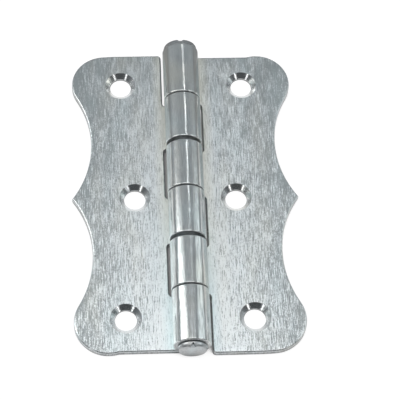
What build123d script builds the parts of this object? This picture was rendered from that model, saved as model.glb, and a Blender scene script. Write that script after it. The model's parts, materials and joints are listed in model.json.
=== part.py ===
"""Surface mount hinge: two stamped leaves with rolled knuckles, turning on a peened pin.

The pin runs along Y. Both leaves lie open with their backs on Z = 0, the right leaf towards +X.
"""
import os
from math import asin, degrees, sqrt

from build123d import *

# Strip that both leaves are stamped from (all sizes in millimetres)
sheet = 1.7
front_round = 0.45
back_round = 0.3

# Leaf outline, seen from the front
leaf_length = 75.0
leaf_reach = 25.7
lobe_setback = 0.2
lobe_rise = 0.1
lobe_radius = 7.6
waist_radius = 24.1
cut_shift = 0.2

# Countersunk screw holes
hole_diameter = 4.9
sink_diameter = 7.0
sink_angle = 90.0
corner_hole_from_end = 8.0
corner_hole_from_side = 11.55
middle_hole_from_axis = 11.5

# Pin, with a formed head at one end, the other end peened over, and both heads staked
pin_diameter = 4.8
pin_clearance = 0.05
formed_diameter = 7.8
peened_diameter = 6.5
head_height = 1.2
head_round = 0.4
head_clearance = 0.05
stake_width = 1.6
stake_length = 0.9
stake_depth = 0.9

# Knuckles and the slots that the other leaf's knuckles turn in
knuckle_pitch = 12.05
knuckle_gap = 0.5
end_play = 0.3
slot_clearance = 0.35
slot_corner = 0.8
seam_gap = 0.25

# Worked out from the sizes above
half_length = leaf_length / 2
knuckled_end = half_length - cut_shift
slotted_end = -half_length - cut_shift
barrel_radius = pin_diameter / 2 + pin_clearance + sheet
slot_depth = barrel_radius + slot_clearance
pin_axis = Axis((0, 0, barrel_radius), (0, 1, 0))
leaf_shift = -end_play / 2

# A knuckle of the right leaf lies between each of these pairs, and a slot between the pairs
knuckle_spans = [
    (2 * knuckle_pitch + knuckle_gap / 2, knuckled_end),
    (knuckle_gap / 2, knuckle_pitch - knuckle_gap / 2),
    (-2 * knuckle_pitch + knuckle_gap / 2, -knuckle_pitch - knuckle_gap / 2),
]
slot_ends = [start for start, _ in knuckle_spans]
slot_starts = [end for _, end in knuckle_spans[1:]] + [-leaf_length]
slot_spans = list(zip(slot_starts, slot_ends))

# The corner lobe, and the hollow that runs from it to the point half way along the leaf
lobe = Vector(leaf_reach - lobe_setback - lobe_radius, half_length + lobe_rise - lobe_radius)
step = lobe_rise + cut_shift
end_corner = Vector(lobe.X - sqrt(lobe_radius**2 - (lobe_radius - step) ** 2), knuckled_end)
point = Vector(leaf_reach, 0)
to_point = point - lobe
reach = lobe_radius + waist_radius
along = (reach**2 - waist_radius**2 + to_point.length**2) / (2 * to_point.length)
aside = sqrt(reach**2 - along**2)
heading = to_point.normalized()
waist = lobe + heading * along + Vector(-heading.Y, heading.X) * aside
tangent = lobe + (waist - lobe).normalized() * lobe_radius

# The roll starts under the pin and ends in a seam just above the leaf's front
wrap_angle = 270 + degrees(asin((barrel_radius - sheet - seam_gap) / barrel_radius))

with BuildPart() as right_leaf:
    # Flat leaf, slotted for the other leaf's knuckles
    with BuildSketch() as leaf_plan:
        with BuildLine():
            Line((0, knuckled_end), end_corner)
            RadiusArc(end_corner, tangent, lobe_radius)
            RadiusArc(tangent, point, -waist_radius)
            RadiusArc(point, (tangent.X, -tangent.Y), -waist_radius)
            RadiusArc((tangent.X, -tangent.Y), (lobe.X, -lobe.Y - lobe_radius), lobe_radius)
            Polyline(
                (lobe.X, -lobe.Y - lobe_radius),
                (end_corner.X, slotted_end),
                (0, slotted_end),
                (0, knuckled_end),
            )
        make_face()
        for low, high in slot_spans:
            with Locations((0, (low + high) / 2)):
                Rectangle(2 * slot_depth, high - low, mode=Mode.SUBTRACT)
        fillet(leaf_plan.vertices().group_by(Axis.X)[1], radius=slot_corner)
    extrude(amount=sheet)
    for face, rounding in ((0, back_round), (-1, front_round)):
        rims = right_leaf.faces().filter_by(Axis.Z).sort_by(Axis.Z)[face].edges()
        fillet(rims - rims.group_by(Axis.X)[0], radius=rounding)

    # Knuckles, each the strip's rounded section carried round the pin
    for low, high in knuckle_spans:
        with BuildSketch(Plane.YZ) as strip_section:
            with Locations(((low + high) / 2, sheet / 2)):
                RectangleRounded(high - low, sheet, back_round)
        revolve(axis=pin_axis, revolution_arc=wrap_angle)

    # Screw holes, sunk from the front
    corner_hole_x = leaf_reach - corner_hole_from_side
    corner_hole_y = half_length - corner_hole_from_end
    with Locations(
        (corner_hole_x, corner_hole_y, sheet),
        (corner_hole_x, -corner_hole_y, sheet),
        (middle_hole_from_axis, 0, sheet),
    ):
        CounterSinkHole(hole_diameter / 2, sink_diameter / 2, counter_sink_angle=sink_angle)
right_leaf.part = right_leaf.part.translate((0, leaf_shift, 0))

# The same stamping, turned end for end
with BuildPart() as left_leaf:
    add(right_leaf.part, rotation=(0, 0, 180))

# Pin, its formed head towards +Y
with BuildPart() as hinge_pin:
    grip = 2 * (knuckled_end + leaf_shift + head_clearance)
    with BuildSketch(Plane((0, 0, barrel_radius), z_dir=(0, 1, 0))):
        Circle(pin_diameter / 2)
    extrude(amount=grip / 2, both=True)
    heads = ((-1, peened_diameter), (1, formed_diameter))
    for end, diameter in heads:
        with BuildSketch(Plane((0, end * grip / 2, barrel_radius), z_dir=(0, end, 0))):
            Circle(diameter / 2)
        extrude(amount=head_height)
    crowns = hinge_pin.edges().group_by(Axis.Y)
    fillet(crowns[0] + crowns[-1], radius=head_round)

    # Stake mark, a notch in the front of each head
    for end, diameter in heads:
        tip = end * (grip / 2 + head_height)
        with BuildSketch(Plane.XY.offset(barrel_radius + diameter / 2 - stake_depth)):
            with BuildLine():
                Polyline(
                    (-stake_width / 2, tip),
                    (stake_width / 2, tip),
                    (0, tip - end * stake_length),
                    close=True,
                )
            make_face()
        extrude(amount=2 * stake_depth, mode=Mode.SUBTRACT)

pieces = {"right_leaf": right_leaf, "left_leaf": left_leaf, "hinge_pin": hinge_pin}
os.makedirs("parts", exist_ok=True)
for name, piece in pieces.items():
    piece.part.label = name
    export_step(piece.part, f"parts/{name}.step")
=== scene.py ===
"""Looks of a surface mount hinge: zinc plated leaves, rolled knuckles and a peened pin.

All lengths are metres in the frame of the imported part. The pin runs along Y, the open leaves lie
with their backs on Z = 0 and the right leaf points towards +X. The near end is the one towards -Y.
"""
import json
import logging
import math
from dataclasses import dataclass, field
from enum import Enum

import bpy
from mathutils import Matrix, Vector


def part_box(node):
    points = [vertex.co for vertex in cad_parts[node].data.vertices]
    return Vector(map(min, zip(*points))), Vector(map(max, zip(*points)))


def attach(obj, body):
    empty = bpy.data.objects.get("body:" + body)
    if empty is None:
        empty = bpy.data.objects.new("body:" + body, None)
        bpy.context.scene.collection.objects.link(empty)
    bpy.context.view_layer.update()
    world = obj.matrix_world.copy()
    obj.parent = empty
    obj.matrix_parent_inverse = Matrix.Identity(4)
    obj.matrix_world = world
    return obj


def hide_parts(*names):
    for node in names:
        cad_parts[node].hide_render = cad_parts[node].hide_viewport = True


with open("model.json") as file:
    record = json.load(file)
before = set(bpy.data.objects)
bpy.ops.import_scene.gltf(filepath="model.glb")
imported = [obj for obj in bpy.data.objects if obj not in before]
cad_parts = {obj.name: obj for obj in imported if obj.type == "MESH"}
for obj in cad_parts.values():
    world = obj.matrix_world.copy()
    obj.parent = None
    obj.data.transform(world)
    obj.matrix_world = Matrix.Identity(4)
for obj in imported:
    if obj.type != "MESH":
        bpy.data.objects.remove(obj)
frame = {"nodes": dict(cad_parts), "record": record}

Colour = tuple[float, float, float, float]
Triple = tuple[float, float, float]
Pair = tuple[float, float]
Socket = bpy.types.NodeSocket
Mixable = float | Colour | Socket

MM = 0.001
MIDDLE = 0.5
WHOLE: Pair = (0.0, 1.0)
FAR_TO_NEAR: Pair = (36 * MM, -36 * MM)
WHITE: Colour = (1.0, 1.0, 1.0, 1.0)
LOG = logging.getLogger("hinge")


class Region(Enum):
    """Parts of a leaf that were worked in different ways."""

    FACE = 0
    KNUCKLE = 1
    EDGE = 2
    SINK = 3
    RIM = 4


class Lamp(Enum):
    """Lamps of the studio, by where they stand."""

    TOP = "top_box"
    LEFT = "left_box"
    RIGHT = "right_box"
    LEFT_STRIP = "left_strip"
    RIGHT_STRIP = "right_strip"
    FAR_STRIP = "far_strip"
    FRONT = "front"
    SIDE = "side"


class Mixing(Enum):
    """What a Mix node mixes: its data type, and the places of its lower, upper and mixed socket."""

    NUMBERS = ("FLOAT", 2, 3, 0)
    COLOURS = ("RGBA", 6, 7, 2)


def deselect_all() -> None:
    """Leaves nothing selected, so that an operator acts on one piece only."""
    bpy.ops.object.select_all(action="DESELECT")


def work_on(piece: bpy.types.Object) -> None:
    """Makes a piece the only selected and the active object.

    Args:
        piece: The object that the next operators act on.
    """
    deselect_all()
    piece.select_set(True)
    bpy.context.view_layer.objects.active = piece


def select_faces(piece: bpy.types.Object, chosen: set[int]) -> None:
    """Selects faces of a mesh by index and enters edit mode in face mode.

    Args:
        piece: The mesh object, which is the active one.
        chosen: Indices of the faces to select.
    """
    bpy.ops.object.mode_set(mode="EDIT")
    bpy.ops.mesh.select_mode(type="FACE")
    bpy.ops.mesh.select_all(action="DESELECT")
    bpy.ops.object.mode_set(mode="OBJECT")
    for polygon in piece.data.polygons:
        polygon.select = polygon.index in chosen
    bpy.ops.object.mode_set(mode="EDIT")


def grey(level: float) -> Colour:
    """Gives a plain grey."""
    return (level, level, level, 1.0)


@dataclass
class NodeBench:
    """Lays out and joins the shader nodes of one material or world."""

    owner: bpy.types.Material | bpy.types.World
    tree: bpy.types.NodeTree = field(init=False)
    place: Socket = field(init=False)

    def __post_init__(self) -> None:
        """Clears the owner's nodes and makes the one that gives the place on the piece."""
        self.owner.use_nodes = True
        self.tree = self.owner.node_tree
        self.tree.nodes.clear()
        self.place = self.node("ShaderNodeTexCoord").outputs["Object"]

    def node(self, kind: str, **settings: object) -> bpy.types.Node:
        """Adds one node.

        Args:
            kind: Blender's name of the node.
            settings: Properties to set on it.

        Returns:
            The new node.
        """
        made = self.tree.nodes.new(kind)
        for name, value in settings.items():
            setattr(made, name, value)
        return made

    def join(self, source: Socket, target: Socket) -> None:
        """Links two sockets."""
        self.tree.links.new(source, target)

    def show(self, shader: Socket, output: str = "ShaderNodeOutputMaterial") -> None:
        """Sends a shader to the output."""
        self.join(shader, self.node(output).inputs["Surface"])

    def noise(self, grain: Triple, detail: float, roughness: float = 0.6) -> Socket:
        """Adds noise whose spots have a given size along each axis.

        Args:
            grain: Size of a spot along X, Y and Z.
            detail: How many finer layers are added.
            roughness: How strong the finer layers are.

        Returns:
            The noise, from 0 to 1.
        """
        mapping = self.node("ShaderNodeMapping")
        mapping.inputs["Scale"].default_value = [1 / size for size in grain]
        self.join(self.place, mapping.inputs["Vector"])
        texture = self.node("ShaderNodeTexNoise")
        texture.inputs["Scale"].default_value = 1.0
        texture.inputs["Detail"].default_value = detail
        texture.inputs["Roughness"].default_value = roughness
        self.join(mapping.outputs["Vector"], texture.inputs["Vector"])
        return texture.outputs["Fac"]

    def along(self, axis: str) -> Socket:
        """Gives the place along one axis.

        Args:
            axis: X, Y or Z.

        Returns:
            The coordinate.
        """
        parts = self.node("ShaderNodeSeparateXYZ")
        self.join(self.place, parts.inputs[0])
        return parts.outputs[axis]

    def off_pin(self) -> Socket:
        """Measures how far out from the pin a place is.

        Returns:
            The distance, the same on both leaves.
        """
        out = self.node("ShaderNodeMath", operation="ABSOLUTE")
        self.join(self.along("X"), out.inputs[0])
        return out.outputs[0]

    def pair(self, operation: str, one: Socket, other: Socket) -> Socket:
        """Works out one value from two.

        Args:
            operation: Blender's name of the calculation.
            one: The first value.
            other: The second value.

        Returns:
            The result.
        """
        result = self.node("ShaderNodeMath", operation=operation)
        self.join(one, result.inputs[0])
        self.join(other, result.inputs[1])
        return result.outputs[0]

    def times(self, one: Socket, other: Socket) -> Socket:
        """Multiplies two values."""
        return self.pair("MULTIPLY", one, other)

    def larger(self, one: Socket, other: Socket) -> Socket:
        """Picks the larger of two values."""
        return self.pair("MAXIMUM", one, other)

    def spread(self, value: Socket, source: Pair, target: Pair) -> Socket:
        """Maps a value from one range onto another, clamped.

        Args:
            value: The value to map.
            source: First and last end of the range it comes in.
            target: What those two ends become.

        Returns:
            The mapped value.
        """
        ranged = self.node("ShaderNodeMapRange")
        for name, number in zip(("From Min", "From Max", "To Min", "To Max"), source + target):
            ranged.inputs[name].default_value = number
        self.join(value, ranged.inputs["Value"])
        return ranged.outputs["Result"]

    def add_up(self, parts: list[tuple[Socket, float]], start: float) -> Socket:
        """Adds values, each with its own weight.

        Args:
            parts: Pairs of a value and its weight.
            start: What the sum starts from.

        Returns:
            The weighted sum.
        """
        total = None
        for value, weight in parts:
            step = self.node("ShaderNodeMath", operation="MULTIPLY_ADD")
            step.inputs[1].default_value = weight
            step.inputs[2].default_value = start
            self.join(value, step.inputs[0])
            if total is not None:
                self.join(total, step.inputs[2])
            total = step.outputs[0]
        return total

    def mix(self, kind: Mixing, amount: Socket, under: Mixable, over: Mixable) -> Socket:
        """Mixes one number or colour over another.

        Args:
            kind: What is mixed.
            amount: How much of the upper one shows, from 0 to 1.
            under: The lower one, or the socket that gives it.
            over: The upper one, or the socket that gives it.

        Returns:
            The mixture.
        """
        data_type, lower, upper, result = kind.value
        mixed = self.node("ShaderNodeMix", data_type=data_type)
        for given, place in ((under, lower), (over, upper)):
            if isinstance(given, Socket):
                self.join(given, mixed.inputs[place])
            else:
                mixed.inputs[place].default_value = given
        self.join(amount, mixed.inputs[0])
        return mixed.outputs[result]

    def tint(self, amount: Socket, under: Mixable, over: Mixable) -> Socket:
        """Mixes one colour over another."""
        return self.mix(Mixing.COLOURS, amount, under, over)

    def bump(self, height: Socket, depth: float, under: Socket | None = None) -> Socket:
        """Turns a height into a relief.

        Args:
            height: The height, from 0 to 1.
            depth: How deep a height of 1 is.
            under: Relief that this one lies on.

        Returns:
            The bent normal.
        """
        relief = self.node("ShaderNodeBump")
        relief.inputs["Strength"].default_value = 1.0
        relief.inputs["Distance"].default_value = depth
        self.join(height, relief.inputs["Height"])
        if under is not None:
            self.join(under, relief.inputs["Normal"])
        return relief.outputs["Normal"]


@dataclass(frozen=True)
class ZincFinish:
    """A zinc plated steel surface, set apart by how the steel under it was worked."""

    name: str

    # Plate at its dullest and brightest, and its gloss there
    dull: Colour = (0.34, 0.37, 0.38, 1.0)
    bright: Colour = (0.94, 0.98, 0.99, 1.0)
    smoothest: float = 0.28
    roughest: float = 0.46

    # Straw and sea green tints: patches of each from thin plating, and a fringe beside the pin that turns
    # from sea to straw
    straw: Colour = (0.86, 0.83, 0.70, 1.0)
    sea: Colour = (0.68, 0.84, 0.86, 1.0)
    stain: float = 0.3
    straw_patches: Pair = (0.5, 0.7)
    sea_patches: Pair = (0.5, 0.3)
    patch_clouds: int = 3
    patch_detail: float = 2.0
    fringe: float = 0.0
    fringe_width: Pair = (4.5 * MM, 7 * MM)
    fringe_turn: Pair = (-24 * MM, 0.0)

    # Spots of the grain, the clouds and the waves
    streak: Triple = (0.25 * MM, 4.0 * MM, 0.25 * MM)
    streak_detail: float = 1.5
    streak_share: float = 0.5
    speck: Triple = (0.26 * MM, 0.42 * MM, 0.26 * MM)
    speck_detail: float = 3.0
    speck_roughness: float = 0.75
    cloud: Triple = (2.6 * MM, 6 * MM, 2.6 * MM)
    cloud_detail: float = 4.0
    wave: Triple = (1.2 * MM, 2.6 * MM, 1.2 * MM)
    wave_detail: float = 1.0

    # Strength of the grain and of the painted light beside the pin at the far and near end, of the grain in
    # all, of the clouds, and of both reliefs
    grain_and_light_strength: Pair = (0.45, 1.75)
    contrast: float = 3.0
    mottle: float = 0.8
    relief: float = 0.06 * MM
    waviness: float = 0.0

    # Painted light: brighter beside the pin, where the knuckles throw light on the plate, duller further
    # out, and paler towards the near end, which the lamps light more
    pin_side_light: float = 0.0
    pin_side_light_band: Pair = (4 * MM, 24 * MM)
    pin_side_light_range: Pair = (-0.9, 0.8)
    near_end_light: float = 0.0

    def material(self) -> bpy.types.Material:
        """Builds the finish as a node material.

        Returns:
            The new material.
        """
        made = bpy.data.materials.new(self.name)
        bench = NodeBench(made)
        grain, shade = self.surface(bench)
        gloss = bench.spread(shade, WHOLE, (self.roughest, self.smoothest))
        waves = bench.bump(bench.noise(self.wave, self.wave_detail), self.waviness)
        shader = bench.node("ShaderNodeBsdfPrincipled")
        shader.inputs["Metallic"].default_value = 1.0
        bench.join(self.colour(bench, shade), shader.inputs["Base Color"])
        bench.join(gloss, shader.inputs["Roughness"])
        bench.join(bench.bump(grain, self.relief, waves), shader.inputs["Normal"])
        bench.show(shader.outputs["BSDF"])
        return made

    def surface(self, bench: NodeBench) -> tuple[Socket, Socket]:
        """Lays grain, clouds and painted light over the plate.

        Args:
            bench: The material's nodes.

        Returns:
            The grain, on both sides of 0, and the shade, from 0 where the plate is dull to 1 where
            it is bright.
        """
        streaks = bench.noise(self.streak, self.streak_detail)
        specks = bench.noise(self.speck, self.speck_detail, self.speck_roughness)
        clouds = bench.noise(self.cloud, self.cloud_detail)
        grain_and_light_gain = bench.spread(bench.along("Y"), FAR_TO_NEAR, self.grain_and_light_strength)
        even = bench.add_up([(streaks, self.streak_share), (specks, 1 - self.streak_share)], -MIDDLE)
        grain = bench.times(even, grain_and_light_gain)
        # Painted light: brighter beside the pin and duller further out, more so towards the near end
        from_pin = bench.spread(bench.off_pin(), self.pin_side_light_band, self.pin_side_light_range)
        lit_beside_pin = bench.times(from_pin, grain_and_light_gain)
        # Painted light: paler towards the near end
        nearer = bench.spread(bench.along("Y"), FAR_TO_NEAR, (-1.0, 1.0))
        weights = [(grain, self.contrast), (clouds, self.mottle), (lit_beside_pin, -self.pin_side_light), (nearer, self.near_end_light)]
        return grain, bench.add_up(weights, MIDDLE - MIDDLE * self.mottle)

    def colour(self, bench: NodeBench, shade: Socket) -> Socket:
        """Colours the plate, with patches of the straw and sea green tints that thin plating has, and a
        fringe beside the pin tinted sea green towards the near end and straw further along.

        Args:
            bench: The material's nodes.
            shade: From 0 where the plate is dull to 1 where it is bright.

        Returns:
            The colour.
        """
        plate = bench.tint(bench.spread(shade, WHOLE, WHOLE), self.dull, self.bright)
        patches = bench.noise(tuple(self.patch_clouds * size for size in self.cloud), self.patch_detail)
        warm = bench.tint(bench.spread(patches, self.straw_patches, (0.0, self.stain)), plate, self.straw)
        both = bench.tint(bench.spread(patches, self.sea_patches, (0.0, self.stain)), warm, self.sea)
        turn = bench.spread(bench.along("Y"), self.fringe_turn, WHOLE)
        beside_pin = bench.spread(bench.off_pin(), self.fringe_width, (self.fringe, 0.0))
        return bench.tint(beside_pin, both, bench.tint(turn, self.sea, self.straw))


# Leaf faces, with painted light: brighter beside the pin and paler towards the near end
ROLLED = ZincFinish(
    "rolled_zinc", contrast=8.5, mottle=1.9, pin_side_light=0.5, near_end_light=0.3, fringe=0.5, stain=0.15,
    streak=(0.17 * MM, 3.0 * MM, 0.17 * MM), speck=(0.16 * MM, 0.32 * MM, 0.16 * MM),
    cloud=(1.8 * MM, 7.0 * MM, 1.8 * MM))
DRAWN = ZincFinish(
    "drawn_zinc", dull=(0.45, 0.47, 0.47, 1.0), bright=(0.80, 0.83, 0.83, 1.0),
    smoothest=0.13, roughest=0.24, contrast=1.5, streak_share=0.8,
    relief=0.015 * MM, waviness=0.025 * MM)
SHEARED = ZincFinish(
    "sheared_zinc", dull=(0.36, 0.37, 0.38, 1.0), bright=(0.70, 0.72, 0.73, 1.0),
    smoothest=0.3, roughest=0.5, stain=0.2, streak=(0.3 * MM, 0.3 * MM, 2.0 * MM))
SUNK = ZincFinish(
    "sunk_zinc", dull=(0.62, 0.64, 0.65, 1.0), bright=(0.93, 0.95, 0.96, 1.0),
    smoothest=0.12, roughest=0.22, contrast=1.5, stain=0.2,
    streak=(0.6 * MM, 0.6 * MM, 0.2 * MM), relief=0.01 * MM)
BURNISHED = ZincFinish(
    "burnished_zinc", dull=(0.40, 0.42, 0.43, 1.0), bright=(0.74, 0.77, 0.78, 1.0),
    smoothest=0.2, roughest=0.34, contrast=2.5, stain=0.2, relief=0.015 * MM)
PEENED = ZincFinish(
    "peened_zinc", dull=(0.34, 0.35, 0.36, 1.0), bright=(0.52, 0.54, 0.55, 1.0),
    smoothest=0.25, roughest=0.45, contrast=1.5, streak=(0.5 * MM, 0.5 * MM, 0.5 * MM),
    speck=(0.2 * MM, 0.2 * MM, 0.2 * MM), relief=0.02 * MM)


@dataclass
class StampedLeaf:
    """One leaf: a waisted plate with countersunk holes and its rolled knuckles."""

    node: str
    body: str
    side: int
    slot: str = "leaf_zinc"

    # Sizes that tell the regions apart, and the room given to each
    sheet: float = 1.7 * MM
    barrel: float = 4.15 * MM
    sink: float = 3.5 * MM
    slack: float = 0.05 * MM

    # How far a face has to point along the pin, out of the front or out of the back to count
    end_facing: float = 0.8
    front_facing: float = 0.97
    rim_facing: float = 0.3
    back_facing: float = 0.9

    # Points closer than this are one, and faces that meet at less than this angle look smooth
    weld: float = 0.001 * MM
    crease: float = math.radians(32)

    def hole_centres(self) -> list[Vector]:
        """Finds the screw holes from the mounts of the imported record.

        Returns:
            The centre of each hole of this leaf, on the leaf's back.
        """
        centres = []
        for mount in frame["record"]["mounts"]:
            place = Vector(mount["pos_m"])
            if place.x * self.side < 0:
                continue
            if mount["kind"] == "bolt_pattern":
                reach = mount["dims"]["spacing_y_mm"] * MM / 2
                centres += [place + Vector((0, reach, 0)), place - Vector((0, reach, 0))]
            elif mount["kind"] == "bore":
                centres.append(place)
        return centres

    def region(self, centre: Vector, normal: Vector, holes: list[Vector]) -> Region:
        """Tells how the steel at a face was worked.

        Args:
            centre: Middle of the face.
            normal: Way that the face points.
            holes: Centres of the screw holes.

        Returns:
            The region that the face belongs to.
        """
        off_axis = math.hypot(centre.x, centre.z - self.barrel)
        rolled = centre.z > self.sheet + self.slack or centre.x * self.side < 0
        if rolled and off_axis < self.barrel + self.slack:
            return Region.EDGE if abs(normal.y) > self.end_facing else Region.KNUCKLE
        sunk = self.sink + self.slack
        if any(math.hypot(centre.x - hole.x, centre.y - hole.y) < sunk for hole in holes):
            return Region.SINK
        if normal.z > self.front_facing or normal.z < -self.back_facing:
            return Region.FACE
        return Region.RIM if normal.z > self.rim_facing else Region.EDGE

    def build(self) -> bpy.types.Object:
        """Makes the leaf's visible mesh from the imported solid, with its loose triangles welded.

        Returns:
            The leaf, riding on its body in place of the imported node.
        """
        piece = bpy.data.objects.new(f"{self.node}_plate", frame["nodes"][self.node].data.copy())
        bpy.context.scene.collection.objects.link(piece)
        work_on(piece)
        bpy.ops.mesh.customdata_custom_splitnormals_clear()
        bpy.ops.object.mode_set(mode="EDIT")
        bpy.ops.mesh.select_all(action="SELECT")
        bpy.ops.mesh.remove_doubles(threshold=self.weld)
        bpy.ops.object.mode_set(mode="OBJECT")
        bpy.ops.object.shade_smooth_by_angle(angle=self.crease)
        even = piece.modifiers.new("even_normals", "WEIGHTED_NORMAL")
        even.keep_sharp = True
        bpy.ops.object.modifier_apply(modifier=even.name)
        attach(piece, self.body)
        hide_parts(self.node)
        return piece

    def dress(self, piece: bpy.types.Object, finishes: dict[Region, bpy.types.Material]) -> None:
        """Gives each region of the leaf its finish.

        Args:
            piece: The leaf.
            finishes: The material of each region.
        """
        holes = self.hole_centres()
        piece.data.materials.clear()
        for region in Region:
            piece.data.materials.append(finishes[region])
        found = {region: set() for region in Region}
        for polygon in piece.data.polygons:
            found[self.region(polygon.center, polygon.normal, holes)].add(polygon.index)
        work_on(piece)
        for region, faces in found.items():
            select_faces(piece, faces)
            piece.active_material_index = region.value
            bpy.ops.object.material_slot_assign()
            bpy.ops.object.mode_set(mode="OBJECT")
            LOG.info("%s: %d faces %s", piece.name, len(faces), region.name.lower())


@dataclass
class StakedPin:
    """The pin, with a formed head at the far end, the near end peened over and both heads staked."""

    node: str = "hinge_pin"
    body: str = "right_half"
    slot: str = "pin_steel"

    # Radius of the shank and of each head
    shank: float = 2.4 * MM
    peened: float = 3.25 * MM
    formed: float = 3.9 * MM

    # Heads, each with a small seat under it and a curved rim
    head_height: float = 1.2 * MM
    seat: float = 0.2 * MM
    rim: float = 0.45 * MM
    rim_steps: int = 6

    # Stake mark: its width on the head's face, its length and its depth
    stake: Triple = (1.6 * MM, 0.9 * MM, 0.9 * MM)

    # Sides of the cylinder, what counts as lying in its end, and the angle below which faces look smooth
    sides: int = 96
    flush: float = 0.001 * MM
    crease: float = math.radians(40)

    def build(self) -> bpy.types.Object:
        """Models the pin from a cylinder and rides it on the right leaf.

        Returns:
            The pin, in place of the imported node.
        """
        low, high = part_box(self.node)
        centre = (low + high) / 2
        grip = high.y - low.y - 2 * self.head_height
        deselect_all()
        bpy.ops.mesh.primitive_cylinder_add(
            vertices=self.sides, radius=self.shank, depth=grip, location=centre,
            rotation=(math.pi / 2, 0, 0))
        piece = bpy.context.active_object
        piece.name = f"{self.node}_staked"
        bpy.ops.object.transform_apply(location=True, rotation=True, scale=True)
        for end, radius in ((-1, self.peened), (1, self.formed)):
            self.upset(piece, end, radius, centre)
            self.strike(piece, end, radius, centre)
        work_on(piece)
        bpy.ops.object.shade_smooth_by_angle(angle=self.crease)
        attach(piece, self.body)
        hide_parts(self.node)
        return piece

    def upset(self, piece: bpy.types.Object, end: int, radius: float, centre: Vector) -> None:
        """Draws one end face out into a head whose side curves over to the face.

        Args:
            piece: The pin.
            end: -1 for the near end, 1 for the far end.
            radius: Size of the head where it is widest.
            centre: Middle of the pin.
        """
        inside = self.tip(piece, end) - self.flush
        cap = {polygon.index for polygon in piece.data.polygons if end * polygon.center.y > inside}
        select_faces(piece, cap)
        curve = self.head_height - self.seat
        profile = [(0.0, radius - self.seat)]
        for step in range(self.rim_steps + 1):
            turn = math.pi / 2 * step / self.rim_steps
            inset = self.rim * (1 - math.cos(turn))
            profile.append((self.seat + curve * math.sin(turn), radius - inset))
        height, width = 0.0, self.shank
        for next_height, next_width in profile:
            rise = (0, end * (next_height - height), 0)
            widen = next_width / width
            bpy.ops.mesh.extrude_region_move(TRANSFORM_OT_translate={"value": rise})
            bpy.ops.transform.resize(value=(widen, 1, widen), center_override=centre)
            height, width = next_height, next_width
        bpy.ops.object.mode_set(mode="OBJECT")

    def strike(self, piece: bpy.types.Object, end: int, radius: float, centre: Vector) -> None:
        """Cuts the stake mark into the front of one head with a three sided punch.

        Args:
            piece: The pin.
            end: -1 for the near end, 1 for the far end.
            radius: Size of the head where it is widest.
            centre: Middle of the pin.
        """
        width, length, depth = self.stake
        # The head's face crosses the punch at its middle, where it is as wide as the mark
        punch_scale = (width * math.sqrt(3) / 2, length, depth)
        place = (centre.x, end * self.tip(piece, end), centre.z + radius)
        deselect_all()
        bpy.ops.mesh.primitive_cylinder_add(
            vertices=3, radius=1, depth=2, location=place,
            rotation=(0, 0, math.pi if end > 0 else 0), scale=punch_scale)
        punch = bpy.context.active_object
        mark = piece.modifiers.new("stake", "BOOLEAN")
        mark.object = punch
        mark.operation = "DIFFERENCE"
        work_on(piece)
        bpy.ops.object.modifier_apply(modifier=mark.name)
        bpy.data.objects.remove(punch)

    def tip(self, piece: bpy.types.Object, end: int) -> float:
        """Measures how far one end of the pin is from the middle of the frame."""
        return max(end * vertex.co.y for vertex in piece.data.vertices)

    def dress(self, piece: bpy.types.Object, finish: bpy.types.Material) -> None:
        """Gives the pin its finish."""
        piece.data.materials.clear()
        piece.data.materials.append(finish)


@dataclass(frozen=True)
class SoftBox:
    """An evenly lit panel that faces the hinge."""

    lamp: Lamp
    place: Triple
    width: float
    height: float
    radiance: float
    colour: Triple = (1.0, 1.0, 1.0)
    aim: Triple = (0.0, 0.0, 0.0)

    def build(self) -> bpy.types.Object:
        """Makes the lamp.

        Returns:
            The new lamp, turned to its aim.
        """
        data = bpy.data.lights.new(self.lamp.value, "AREA")
        data.shape = "RECTANGLE"
        data.size = self.width
        data.size_y = self.height
        data.energy = self.radiance * math.pi * self.width * self.height
        data.color = self.colour
        made = bpy.data.objects.new(self.lamp.value, data)
        bpy.context.scene.collection.objects.link(made)
        made.location = self.place
        away = Vector(self.place) - Vector(self.aim)
        made.rotation_euler = away.to_track_quat("Z", "Y").to_euler()
        made.visible_camera = False
        return made


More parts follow.
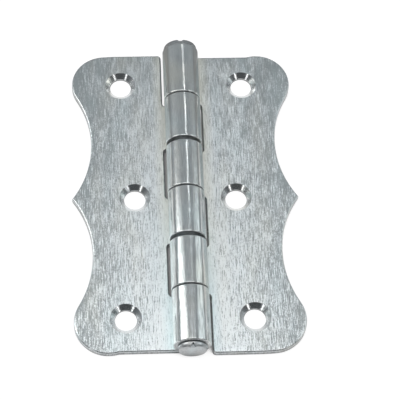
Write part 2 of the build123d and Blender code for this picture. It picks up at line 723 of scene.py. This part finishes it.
@dataclass
class Studio:
    """Camera, pale floor and soft light."""

    # Camera
    azimuth: float = math.radians(-6.909)
    elevation: float = math.radians(62.836)
    roll: float = math.radians(5.038)
    distance: float = 372.34 * MM
    aim: Triple = (3.311 * MM, 0.019 * MM, 0.214 * MM)
    lens: float = 147.41
    sensor: float = 36.0
    near_clip: float = 10 * MM
    far_clip: float = 48.0

    # Floor: its size, how far it lies below the leaves' backs, and its paper
    floor_reach: float = 12.0
    floor_gap: float = 0.02 * MM
    floor_albedo: float = 0.7
    fibre: float = 3 * MM
    fibre_detail: float = 3.0
    fibre_range: Pair = (0.3, 0.7)
    fibre_share: float = 0.04
    shadow_share: float = 0.2

    # Glow of the floor in the open and in gaps, and how open a place is from the one to the other
    floor_glow: float = 0.9
    gap_glow: float = 0.12
    gap_reach: float = 4 * MM
    gap_samples: int = 16
    seen_gap: Pair = (0.22, 0.42)
    mirrored_gap: Pair = (0.5, 0.85)

    # Along the pin, gaps are lit past the slit, and mirrors see only a share of the glow past the end
    lit_slit: float = 20 * MM
    paper_end: float = 36 * MM
    behind_share: float = 0.2

    # Out from the pin, the glow falls to a share of itself between these two distances
    paper_edge: Pair = (0.055, 0.12)
    edge_share: float = 0.3

    # Room light, from the near to the far side
    sky: Triple = (0.235, 0.25, 0.26)
    sky_band: Pair = (-0.6, 0.6)
    sky_strength: Pair = (0.3, 1.6)

    boxes: tuple[SoftBox, ...] = (
        SoftBox(Lamp.TOP, (0.0, 0.01, 1.0), 0.8, 0.62, 1.55),
        SoftBox(Lamp.LEFT, (-0.6, 0.15, 0.5), 0.36, 0.6, 2.8, (1.0, 0.99, 0.97)),
        SoftBox(Lamp.RIGHT, (0.765, 0.13, 0.45), 0.6, 0.6, 0.75, (0.93, 1.0, 1.0)),
        SoftBox(Lamp.LEFT_STRIP, (-0.5, -0.53, 0.34), 0.1, 0.4, 2.0),
        SoftBox(Lamp.RIGHT_STRIP, (0.5, -0.53, 0.34), 0.1, 0.4, 2.0),
        SoftBox(Lamp.FAR_STRIP, (0.2, 0.48, 0.79), 0.03, 0.12, 7.0),
        SoftBox(Lamp.FRONT, (0.0, -0.55, 0.84), 1.0, 0.2, 1.6),
        SoftBox(Lamp.SIDE, (0.73, -0.09, 0.68), 0.2, 0.4, 2.2),
    )

    def camera(self) -> bpy.types.Object:
        """Places the camera at the photograph's angle.

        Returns:
            The camera, set as the scene's own.
        """
        flat = math.cos(self.elevation)
        level = Vector((math.cos(self.azimuth), math.sin(self.azimuth), 0))
        back = Vector((
            math.sin(self.azimuth) * flat,
            -math.cos(self.azimuth) * flat,
            math.sin(self.elevation),
        ))
        upright = back.cross(level)
        right = math.cos(self.roll) * level + math.sin(self.roll) * upright
        up = math.cos(self.roll) * upright - math.sin(self.roll) * level
        data = bpy.data.cameras.new("photo_camera")
        data.lens = self.lens
        data.sensor_width = self.sensor
        data.clip_start = self.near_clip
        data.clip_end = self.far_clip
        made = bpy.data.objects.new("photo_camera", data)
        bpy.context.scene.collection.objects.link(made)
        turn = Matrix((right, up, back)).transposed().to_4x4()
        made.matrix_world = Matrix.Translation(Vector(self.aim) + self.distance * back) @ turn
        bpy.context.scene.camera = made
        return made

    def floor(self) -> bpy.types.Object:
        """Lays a pale floor that stays white to the eye and keeps a soft shadow.

        Returns:
            The floor.
        """
        deselect_all()
        bpy.ops.mesh.primitive_plane_add(size=2 * self.floor_reach, location=(0, 0, -self.floor_gap))
        made = bpy.context.active_object
        made.name = "floor"
        bpy.ops.object.transform_apply(location=True, rotation=True, scale=True)
        made.data.materials.append(self.floor_paper())
        return made

    def floor_paper(self) -> bpy.types.Material:
        """Builds the floor's material.

        Returns:
            A pale paper that glows towards the camera and mirrors, and is plain to other light.
        """
        made = bpy.data.materials.new("pale_paper")
        bench = NodeBench(made)
        fibres = bench.noise((self.fibre, self.fibre, self.fibre), self.fibre_detail)
        paler = bench.spread(fibres, self.fibre_range, (0.0, self.fibre_share))
        paper = bench.node("ShaderNodeBsdfDiffuse")
        bench.join(bench.tint(paler, grey(self.floor_albedo), WHITE), paper.inputs["Color"])
        shadow = bench.node("ShaderNodeBsdfDiffuse")
        shadow.inputs["Color"].default_value = grey(self.shadow_share)
        glow = bench.node("ShaderNodeEmission")
        bench.join(self.glow(bench), glow.inputs["Strength"])
        seen = bench.node("ShaderNodeAddShader")
        bench.join(glow.outputs[0], seen.inputs[0])
        bench.join(shadow.outputs[0], seen.inputs[1])
        rays = bench.node("ShaderNodeLightPath").outputs
        mirrored = bench.larger(rays["Is Glossy Ray"], rays["Is Transmission Ray"])
        looked_at = bench.larger(rays["Is Camera Ray"], mirrored)
        choice = bench.node("ShaderNodeMixShader")
        bench.join(looked_at, choice.inputs[0])
        bench.join(paper.outputs[0], choice.inputs[1])
        bench.join(seen.outputs[0], choice.inputs[2])
        bench.show(choice.outputs[0])
        return made

    def glow(self, bench: NodeBench) -> Socket:
        """Sets how brightly the floor glows, by how much of the room a place on it sees.

        Args:
            bench: The floor's nodes.

        Returns:
            The glow, which falls away to the sides. The camera sees it dimmed in the gaps beside the
            knuckles, apart from the far ones. Mirrors see it dimmed close round the hinge and behind it.
        """
        nearby = bench.node("ShaderNodeAmbientOcclusion", samples=self.gap_samples)
        nearby.inputs["Distance"].default_value = self.gap_reach
        openness = nearby.outputs["AO"]
        levels = (self.gap_glow, self.floor_glow)
        past_end = (self.paper_end, self.paper_end + self.gap_reach)
        behind = bench.spread(bench.along("Y"), past_end, (1.0, self.behind_share))
        mirrored = bench.times(behind, bench.spread(openness, self.mirrored_gap, levels))
        past_slit = (self.lit_slit, self.lit_slit + self.gap_reach)
        lit = bench.spread(bench.along("Y"), past_slit, (0.0, self.floor_glow))
        seen = bench.larger(bench.spread(openness, self.seen_gap, levels), lit)
        by_camera = bench.node("ShaderNodeLightPath").outputs["Is Camera Ray"]
        level = bench.mix(Mixing.NUMBERS, by_camera, mirrored, seen)
        return bench.times(level, bench.spread(bench.off_pin(), self.paper_edge, (1.0, self.edge_share)))

    def world(self) -> None:
        """Fills the room with pale light that fades towards the viewer's side."""
        made = bpy.data.worlds.new("studio_room")
        bench = NodeBench(made)
        background = bench.node("ShaderNodeBackground")
        background.inputs["Color"].default_value = (*self.sky, 1.0)
        strength = bench.spread(bench.along("Y"), self.sky_band, self.sky_strength)
        bench.join(strength, background.inputs["Strength"])
        bench.show(background.outputs[0], "ShaderNodeOutputWorld")
        bpy.context.scene.world = made

    def build(self) -> None:
        """Sets camera, floor, room light and lamps."""
        bpy.context.scene.view_settings.view_transform = "Standard"
        self.camera()
        self.floor()
        self.world()
        for box in self.boxes:
            LOG.info("lamp %s", box.build().name)


def main() -> None:
    """Builds the leaves and the pin, then sets the studio round them."""
    logging.basicConfig(level=logging.INFO, format="%(name)s: %(message)s")
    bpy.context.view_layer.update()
    finishes = {
        Region.FACE: ROLLED.material(),
        Region.KNUCKLE: DRAWN.material(),
        Region.EDGE: SHEARED.material(),
        Region.SINK: SUNK.material(),
        Region.RIM: BURNISHED.material(),
    }
    for leaf in (StampedLeaf("right_leaf", "right_half", 1), StampedLeaf("left_leaf", "left_half", -1)):
        piece = leaf.build()
        leaf.dress(piece, finishes)
        LOG.info("built %s", piece.name)
    pin = StakedPin()
    piece = pin.build()
    pin.dress(piece, PEENED.material())
    LOG.info("built %s", piece.name)
    Studio().build()


if __name__ == "__main__":
    main()
